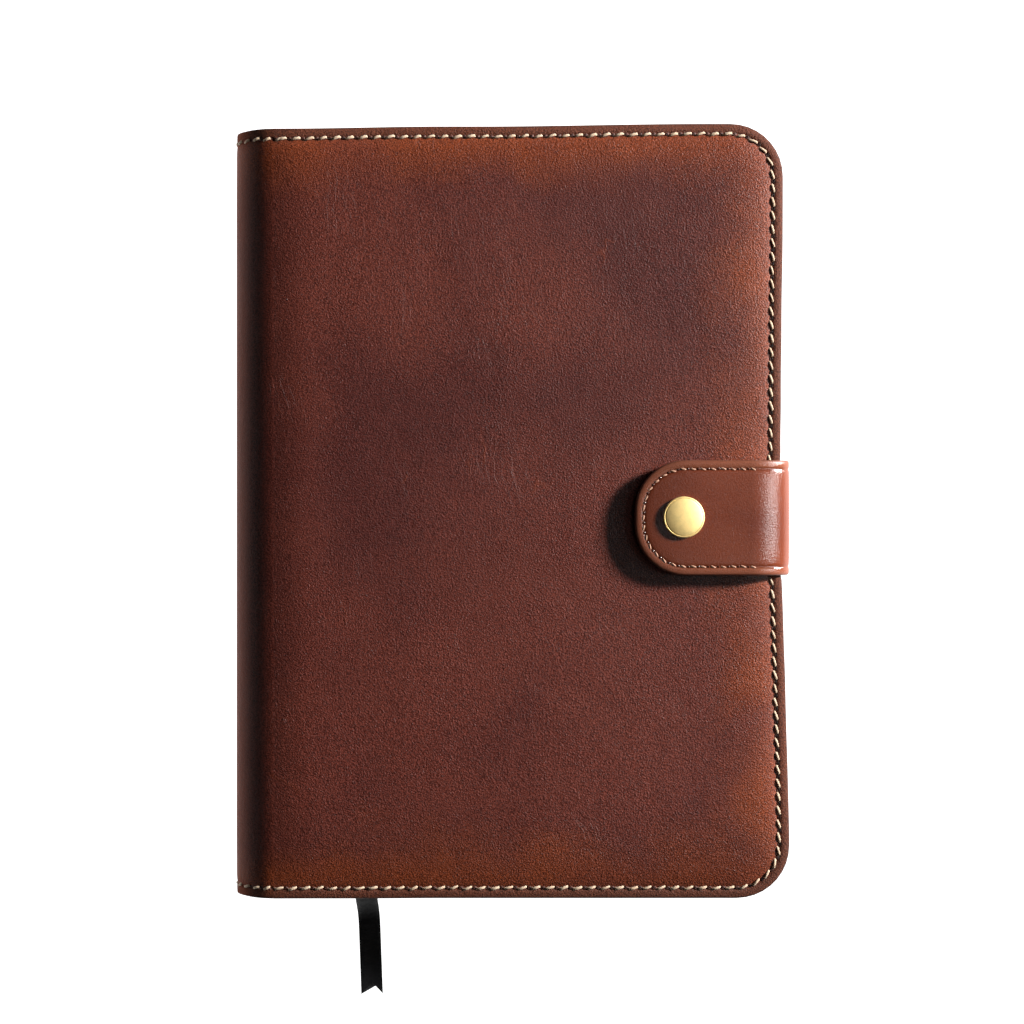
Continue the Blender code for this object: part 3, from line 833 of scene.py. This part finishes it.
def ribbon_line():
    """The ribbon's middle line, from the head of the book to its loose end, closely spaced."""
    head, edge, end = RIBBON_X
    ys = [RIBBON_HEAD_Y] + [y for y, _ in RIBBON_FALL]
    zs = [RIBBON_FALL[0][1]] + [z for _, z in RIBBON_FALL]
    line = []
    inside = np.linspace(RIBBON_HEAD_Y, -100, 70)
    outside = np.linspace(-100.6, RIBBON_END_Y, 90)
    for y in np.concatenate([inside, outside]):
        z = smooth_interp(-y, [-v for v in ys], zs)
        if y > RIBBON_EDGE_Y:
            part = (RIBBON_HEAD_Y - y) / (RIBBON_HEAD_Y - RIBBON_EDGE_Y)
            x = head + (edge - head) * (1 - (1 - part) ** 2)
        else:
            x = edge + (end - edge) * (RIBBON_EDGE_Y - y) / (RIBBON_EDGE_Y - RIBBON_END_Y)
        line.append((x, y, z))
    return np.array(line)


def smooth_interp(at, xs, ys):
    """Catmull-Rom through the points, without overshoot of consequence."""
    k = min(max(int(np.searchsorted(xs, at)) - 1, 0), len(xs) - 2)
    h = xs[k + 1] - xs[k]
    t = (at - xs[k]) / h

    def slope(i):
        if i <= 0 or i >= len(xs) - 1:
            return 0.0
        return (ys[i + 1] - ys[i - 1]) / (xs[i + 1] - xs[i - 1])

    a, b = slope(k) * h, slope(k + 1) * h
    t2, t3 = t * t, t * t * t
    return (
        ys[k] * (2 * t3 - 3 * t2 + 1)
        + a * (t3 - 2 * t2 + t)
        + ys[k + 1] * (3 * t2 - 2 * t3)
        + b * (t3 - t2)
    )


def build_ribbon():
    line = ribbon_line()
    run = lengths_along(line)
    across = 12
    rows = []
    extra = []
    for i, centre in enumerate(line):
        step = line[min(i + 1, len(line) - 1)] - line[max(i - 1, 0)]
        step /= np.linalg.norm(step)
        side = np.array((-step[1], step[0], 0.0))
        side /= np.linalg.norm(side)
        up = np.cross(step, side)
        up = up if up[2] > 0 or abs(up[2]) < 1e-6 else -up
        row = []
        loose = smooth(-112, -135, centre[1])
        for lift in (-1, 1):
            for j in range(across + 1):
                u = (1 - 2 * j / across) * lift
                cup = 0.18 * loose * (u * u) + 0.12 * loose * wave(centre[1], u, 9, 2.2)
                notch = RIBBON_NOTCH * (1 - abs(u)) * smooth(-137.5, RIBBON_END_Y, centre[1])
                half = RIBBON_T / 2 * (0.55 + 0.45 * math.sqrt(max(0, 1 - u**8)))
                point = centre + side * u * RIBBON_W / 2 + up * (lift * half + max(cup, 0))
                row.append(point + np.array((0, notch, 0)))
                extra.append((u * RIBBON_W / 2, run[i] - notch))
        rows.append(row)
    grid = np.array(rows)
    grid[..., 2] = np.maximum(grid[..., 2], 0.06)
    count = grid.shape[1]
    faces = grid_faces(len(line), count, wrap=True) + grid_ends(len(line), count)
    extra = np.array(extra)
    attributes = {"across": extra[:, 0], "along": extra[:, 1]}
    piece = mesh_object("ribbon", grid.reshape(-1, 3), faces, RIBBON, attributes, crease=50)
    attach(piece, "back")
    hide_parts("ribbon_bookmark")
    spot(*line[0])
    [spot(*point) for point in line]


# ---- the cover


def build_covers():
    for side, front in (("front", True), ("back", False)):
        shell = cover_panel(f"{side}_leather", LEATHER_SECTION, SPINE_R, front, COVER_LEATHER)
        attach(shell, side)
        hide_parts(f"{side}_cover_leather")
        name = f"{side}_lining_panel"
        lining = cover_panel(name, LINING_SECTION, SPINE_R, front, LINING, outer=False)
        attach(lining, side)
        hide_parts(f"{side}_lining")
        name = f"{side}_pocket_panel"
        pocket = cover_panel(
            name, POCKET_SECTION, POCKET_START, front, LINING, closed=True, outer=False
        )
        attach(pocket, side)
        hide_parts(f"{side}_pocket")
        stitches = cover_stitches(front) + cover_stitches(front, inner=True)
        points, faces = stitch_mesh(stitches, *SEAM_STITCH)
        seam = mesh_object(f"{side}_stitches", points, faces, THREAD)
        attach(seam, side)
        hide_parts(f"{side}_seam_thread")


def build_spine():
    hides = spine_pieces("spine_leather", LEATHER_SECTION, SPINE_LEATHER, False)
    end = HEIGHT / 2 - 0.4
    outer, inner = SPINE_LINING
    loop = [(end, inner), (end, outer), (-end, outer), (-end, inner)]
    loop += [(-end + 40 * i, inner) for i in range(1, 5)]
    linings = spine_pieces("spine_lining", loop, LINING, True)
    bodies = ("spine_lower", "spine_mid", None, "spine_upper")
    for k, name in enumerate(bodies):
        points, faces = stitch_mesh(spine_stitches(k), *SEAM_STITCH)
        seam = mesh_object(f"spine_stitches_{k + 1}", points, faces, THREAD)
        (ax, az), (bx, bz) = (spine_point(math.pi / 4 * (k + step), 0) for step in (0, 1))
        spot(ax, 0, az)
        spot(bx, 0, bz)
        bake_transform(seam)
        if name:
            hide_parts(f"{name}_leather")
            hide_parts(f"{name}_lining")
            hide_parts(f"{name}_head_thread", f"{name}_tail_thread")


# ---- the notebook


def build_pages():
    """Each gathering is a stack of leaves whose edges don't quite line up."""
    chance = random.Random(7)
    pitch = (THICK / 2 - 0.04 - BLOCK_LOW) / SIGNATURES
    for half, body in (("rear", "back"), ("front", "pages_front")):
        for n in range(SIGNATURES):
            low = BLOCK_LOW + n * pitch
            high = low + pitch - 0.03
            if half == "rear" and n == SIGNATURES - 1:
                high = RIBBON_FALL[0][1] - RIBBON_T / 2 - 0.04
            rings = []
            leaf = (high - low) / LEAVES
            for k in range(LEAVES):
                shift = chance.uniform(0, 0.28)
                fold = abs(k - (LEAVES - 1) / 2) / (LEAVES / 2)
                for level, pull in ((0.03, 0.1), (0.5, 0.0), (0.97, 0.1)):
                    inset = shift + pull
                    start = BLOCK_X + 0.45 * fold**3 + pull
                    path = u_path(start, PAGE_FAR, PAGE_HALF, PAGE_R, inset, (10, 7, 14))
                    z = low + (k + level) * leaf
                    z = z if half == "rear" else THICK - z
                    rings.append([(x, y, z) for x, y in path])
            grid = np.array(rings)
            columns = grid.shape[1]
            faces = grid_faces(len(rings), columns, wrap=True, flip=half == "rear")
            faces += grid_ends(len(rings), columns)
            piece = mesh_object(f"leaves_{half}_{n + 1}", grid.reshape(-1, 3), faces, PAPER, crease=35)
            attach(piece, body)
            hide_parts(f"signature_{half}_{n + 1}")


def dress_cad_nodes():
    for name, material in (
        ("front_stiffener", BOARD),
        ("back_stiffener", BOARD),
        ("notebook_front_board", CARD),
        ("notebook_back_board", CARD),
    ):
        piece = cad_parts[name]
        if not piece.material_slots:
            piece.data.materials.append(material)
        for held in piece.material_slots:
            held.material = material


# ---- the tab


TAB_SECTION = (
    (0.5, 1.6), (0.14, 1.53), (0.0, 1.35), (0.0, 0.75), (0.06, 0.48), (0.22, 0.26),
    (0.5, 0.12), (0.95, 0.05), (1.5, 0.03), (1.9, 0.06), (2.2, 0.15), (2.5, 0.21),
    (2.8, 0.15), (3.1, 0.06), (3.6, 0.01), (4.5, -0.03), (6.5, -0.08), (9.5, -0.1),
    (13.0, -0.1), (TAB_HALF, -0.1),
)
TAB_LINING_SECTION = (
    (0.25, 1.7), (0.1, 1.85), (0.1, 2.2), (0.3, 2.35), (1.0, 2.39), (8.0, 2.4),
    (TAB_HALF, 2.4),
)
TAB_COUNTS = (26, 14, 8)


def tab_line():
    """The strap's outer line in x and z from the flap to its foot, and the share of its full
    thickness. It is split by index into shoulder pieces, upright and foot."""
    points = []
    marks = [0]
    steps = 10
    wide, tall = TAB_REACH - BEND_X, TAB_TOP - BEND_Z
    for i in range(2 * steps + 1):
        angle = math.pi / 2 * (1 - i / (2 * steps))
        points.append((BEND_X + wide * math.cos(angle), BEND_Z + tall * math.sin(angle), 1.0))
        if i in (steps, 2 * steps):
            marks.append(len(points) - 1)
    foot_z = FOOT_Z + FOOT_R
    for i in range(1, 9):
        z = BEND_Z + (foot_z - BEND_Z) * i / 8
        bow = 0.12 * math.sin(math.pi * i / 8)
        points.append((TAB_REACH - bow, z, 1.0))
    marks.append(len(points) - 1)
    for i in range(1, 2 * steps + 1):
        angle = math.pi / 2 * i / (2 * steps)
        x = TAB_REACH - FOOT_R + FOOT_R * math.cos(angle)
        z = foot_z - FOOT_R * math.sin(angle)
        points.append((x, z, 1 - (1 - THINNED) * smooth(0.0, 1.05, angle)))
    for x in (154.0, 151.0, 147.0, 143.0):
        points.append((x, FOOT_Z, THINNED))
    marks.append(len(points) - 1)
    return np.array(points), marks


def strap_pieces(name, section, material, replaced):
    """The strap from the flap's root to its sewn-in end, in four pieces."""
    line, marks = tab_line()
    flat = line[:, [0, 1]]
    tangent = np.gradient(flat, axis=0)
    tangent[0] = (1, 0)
    tangent /= np.linalg.norm(tangent, axis=1, keepdims=True)
    outward = np.stack([-tangent[:, 1], tangent[:, 0]], axis=1)
    loop = [(TAB_HALF - inset, depth) for inset, depth in section]
    loop += [(-y, depth) for y, depth in loop[-2::-1]]
    rows = []
    ghost = [(flat[0] - tangent[0], outward[0], 1.0)]
    for point, out, share in ghost + list(zip(flat, outward, line[:, 2])):
        row = []
        for y, depth in loop:
            deep = depth * share if depth > 0 else depth
            xz = point - out * deep
            row.append((xz[0], TAB_Y + y, xz[1]))
        rows.append(row)
    grid = np.array(rows)
    normals = grid_normals(grid, True, True)[1:]
    grid = grid[1:]
    columns = len(loop)
    rim = [TAB_HALF - abs(y) for y, _ in loop]
    names = ("shoulder_top", "shoulder_side", "upright", "foot")
    pairs = (("tab_flap", "tab_shoulder"), ("tab_shoulder", "tab_riser"), None, ("tab_riser", "back"))
    for k, label in enumerate(names):
        part = slice(marks[k], marks[k + 1] + 1)
        rows = marks[k + 1] - marks[k] + 1
        heights = grid[part][..., 2].ravel()
        attributes = {
            "rim": np.tile(rim, rows),
            "run": np.full(rows * columns, 0.5),
            "stretch": [smooth(TAB_TOP, TAB_TOP - 5.0, z) * smooth(8, 18, z) for z in heights],
        }
        faces = grid_faces(rows, columns, wrap=True, flip=True)
        piece = mesh_object(
            f"tab_{label}_{name}",
            grid[part].reshape(-1, 3),
            faces,
            material,
            attributes,
            normals[part].reshape(-1, 3),
        )
        if pairs[k] is None:
            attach(piece, "tab_riser")
        else:
            (ax, az), (bx, bz) = flat[marks[k]], flat[marks[k + 1]]
            if label == "foot":
                bx, bz = WIDTH, FOOT_Z
            spot(ax, TAB_Y, az)
            spot(bx, TAB_Y, bz)
            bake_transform(piece)
        if replaced.get(label):
            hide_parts(replaced[label])


def flap_path(inset, counts=TAB_COUNTS, start=BEND_X):
    return u_path(start, TAB_TIP, TAB_HALF, TAB_TIP_R, inset, counts)


def flap_panel(name, section, material, close_under):
    """One layer of the flap: the section carried round its tip and in to its middle line."""
    if close_under:
        depth = section[0][1]
        section = ((TAB_HALF, depth), (4.0, depth), *section)
    rings = []
    for inset, depth in section:
        path = flap_path(inset)
        rings.append([(x, TAB_Y + y, TAB_TOP - depth) for x, y in path])
    grid = np.array(rings).transpose(1, 0, 2)
    run = lengths_along(flap_path(TAB_SEAM))
    run = (run + TAB_SEAM_END) / (run[-1] + 2 * TAB_SEAM_END) * TAB_STITCHES
    rows, columns = grid.shape[:2]
    rim = np.tile([inset for inset, _ in section], rows)
    hole_run = np.repeat(run, columns)
    # Painted shade: the flap darker towards its tip.
    shade = [0.9 * smooth(141, 120, x) for x in grid[..., 0].ravel()]
    attributes = {"rim": rim, "run": hole_run, "shade": shade}
    faces = grid_faces(rows, columns, flip=True)
    points, faces, attributes = weld(grid.reshape(-1, 3), faces, attributes)
    return mesh_object(name, points, faces, material, attributes)


def tab_stitches():
    """The stitches round the flap, the first and last of them just over the shoulder."""
    path = flap_path(TAB_SEAM, (300, 100, 60), BEND_X + TAB_SEAM_END)
    run = lengths_along(path)
    stitches = []
    pitch = run[-1] / TAB_STITCHES
    for k in range(TAB_STITCHES):
        ends = []
        for s in (k * pitch, (k + 1) * pitch):
            x, y = (np.interp(s, run, path[:, c]) for c in (0, 1))
            over = max(x - BEND_X, 0) / (TAB_REACH - BEND_X)
            level = BEND_Z + (TAB_TOP - BEND_Z) * math.sqrt(1 - over * over)
            ends.append(np.array((x, TAB_Y + y, level - 0.2)))
        stitches.append(level_stitch(*ends, 1.0, -1.0))
    return stitches


def build_tab():
    leather = flap_panel("tab_flap_hide", TAB_SECTION, TAB_LEATHER, True)
    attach(leather, "tab_flap")
    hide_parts("tab_flap_leather")
    lining = flap_panel("tab_flap_inside", TAB_LINING_SECTION, LINING, False)
    for face in lining.data.polygons:
        face.flip()
    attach(lining, "tab_flap")
    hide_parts("tab_flap_lining")
    strap_pieces(
        "hide",
        TAB_SECTION,
        TAB_LEATHER,
        {"shoulder_top": "tab_shoulder_leather", "upright": "tab_riser_leather", "foot": "tab_anchor"},
    )
    strap_pieces(
        "inside",
        TAB_LINING_SECTION,
        LINING,
        {"shoulder_top": "tab_shoulder_lining", "upright": "tab_riser_lining"},
    )
    points, faces = stitch_mesh(tab_stitches(), *TAB_STITCH)
    seam = mesh_object("tab_stitches", points, faces, TAB_THREAD)
    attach(seam, "tab_flap")
    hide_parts("tab_flap_thread")


# The snap in section, as (radius, height): the cap's rim above the tab's face, and the stud and the
# socket above the cover's. TAB_GAP is how far the cover's face lies below the tab's.
TAB_GAP = TAB_TOP - THICK
CAP_RIM = (
    (5.36, 1.05), (5.48, 1.12), (5.68, 1.06), (5.81, 0.9), (5.85, 0.75), (5.81, 0.45),
    (5.63, 0.2), (5.3, 0.08), (5.0, 0.06), (2.2, 0.06), (2.2, -0.7), (0.0, -0.7),
)
STUD = (
    (0, -2.6), (3.9, -2.6), (4.2, -2.3), (3.9, -1.9), (1.6, -1.85), (1.6, 0.06),
    (3.8, 0.06), (4.05, 0.2), (3.9, 0.38), (3.2, 0.42), (2.0, 0.5), (1.5, 0.62),
    (1.4, 0.95), (1.6, 1.2), (1.95, 1.45), (1.98, 1.7), (1.8, 2.0), (1.3, 2.25),
    (0.6, 2.34), (0.0, 2.35),
)
SOCKET = (
    (2.35, 0.62), (2.5, 0.46), (2.8, 0.4), (3.4, 0.42), (4.2, 0.5), (4.55, 0.62),
    (4.5, 0.84), (3.25, 0.86), (3.25, TAB_GAP - 0.75), (2.5, TAB_GAP - 0.75), (2.45, 0.9),
)


def dome(radius, base, rise, steps, bulge):
    """Profile points of a domed head from its centre outwards."""
    points = []
    for i in range(steps + 1):
        r = radius * i / steps
        points.append((r, base + rise * (1 - (i / steps) ** bulge)))
    return points


def raised(profile, level):
    return [(r, level + z) for r, z in profile]


def build_snap():
    cap_profile = raised(dome(5.28, 1.12, 0.7, 14, 2.3) + list(CAP_RIM), TAB_TOP)
    cap = turned("snap_cap_head", cap_profile[::-1], SNAP_X, SNAP_Y, CAP_BRASS, 96)
    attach(cap, "tab_flap")
    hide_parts("snap_cap")
    stud = turned("snap_stud_turned", raised(STUD, THICK), SNAP_X, SNAP_Y, SNAP_BRASS, 64)
    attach(stud, "front")
    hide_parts("snap_stud")
    socket = turned("snap_socket_turned", raised(SOCKET, THICK), SNAP_X, SNAP_Y, SNAP_BRASS, 64)
    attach(socket, "tab_flap")
    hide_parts("snap_socket")


# ---- the set


def area_light(name, location, target, size, power, only_gloss=False):
    """A soft light. One that shows only in gloss leaves the shadows dark."""
    data = bpy.data.lights.new(name, "AREA")
    data.shape = "RECTANGLE"
    data.size, data.size_y = size
    data.energy = power
    lamp = add_object(name, data)
    lamp.location = location
    lamp.rotation_euler = (Vector(target) - Vector(location)).to_track_quat("-Z", "Y").to_euler()
    lamp.visible_diffuse = not only_gloss


FLOOR_GREY, FLOOR_GLOW = 0.3, 1.4
BACKDROP_GLOW, AMBIENT_GLOW = 0.95, 0.01


def build_set():
    """A pale floor that glows a little, a bright backdrop and four lights."""
    s = Shader("pale_floor")
    s.set(Base_Color=(FLOOR_GREY,) * 3, Roughness=0.9, Specular_IOR_Level=0.1)
    s.set(Emission_Color=(1.0, 1.0, 1.0), Emission_Strength=FLOOR_GLOW)
    mesh = bpy.data.meshes.new("floor")
    reach, level = 4.0, -0.0003
    corners = [(-reach, -reach), (reach, -reach), (reach, reach), (-reach, reach)]
    mesh.from_pydata([(x, y, level) for x, y in corners], [], [(0, 1, 2, 3)])
    mesh.materials.append(s.material)
    floor = add_object("floor", mesh)
    world = bpy.data.worlds.new("studio")
    world.use_nodes = True
    tree = world.node_tree
    backdrop = tree.nodes["Background"]
    backdrop.inputs[0].default_value = (1, 1, 1, 1)
    backdrop.inputs[1].default_value = BACKDROP_GLOW
    ambient = tree.nodes.new("ShaderNodeBackground")
    ambient.inputs[1].default_value = AMBIENT_GLOW
    either = tree.nodes.new("ShaderNodeMixShader")
    tree.links.new(tree.nodes.new("ShaderNodeLightPath").outputs["Is Camera Ray"], either.inputs[0])
    tree.links.new(ambient.outputs[0], either.inputs[1])
    tree.links.new(backdrop.outputs[0], either.inputs[2])
    tree.links.new(either.outputs[0], tree.nodes["World Output"].inputs[0])
    bpy.context.scene.world = world
    area_light("key", (1.285, 0.519, 0.49), (0.0, 0, 0.02), (0.2, 0.2), 60)
    area_light("overhead_head", (0.3, 0.21, 1.07), (0, 0, 0.02), (0.14, 0.3), 0.27)
    area_light("overhead_tail", (0.3, -0.21, 1.07), (0, 0, 0.02), (0.14, 0.3), 0.27)
    area_light("strip", (0.74, 0.02, 0.68), (0.07, 0, 0.02), (0.1, 0.5), 3.0, only_gloss=True)
    bpy.context.scene.view_settings.view_transform = "Standard"


add_camera()
build_ribbon()
build_covers()
build_spine()
build_pages()
dress_cad_nodes()
build_tab()
build_snap()
build_set()
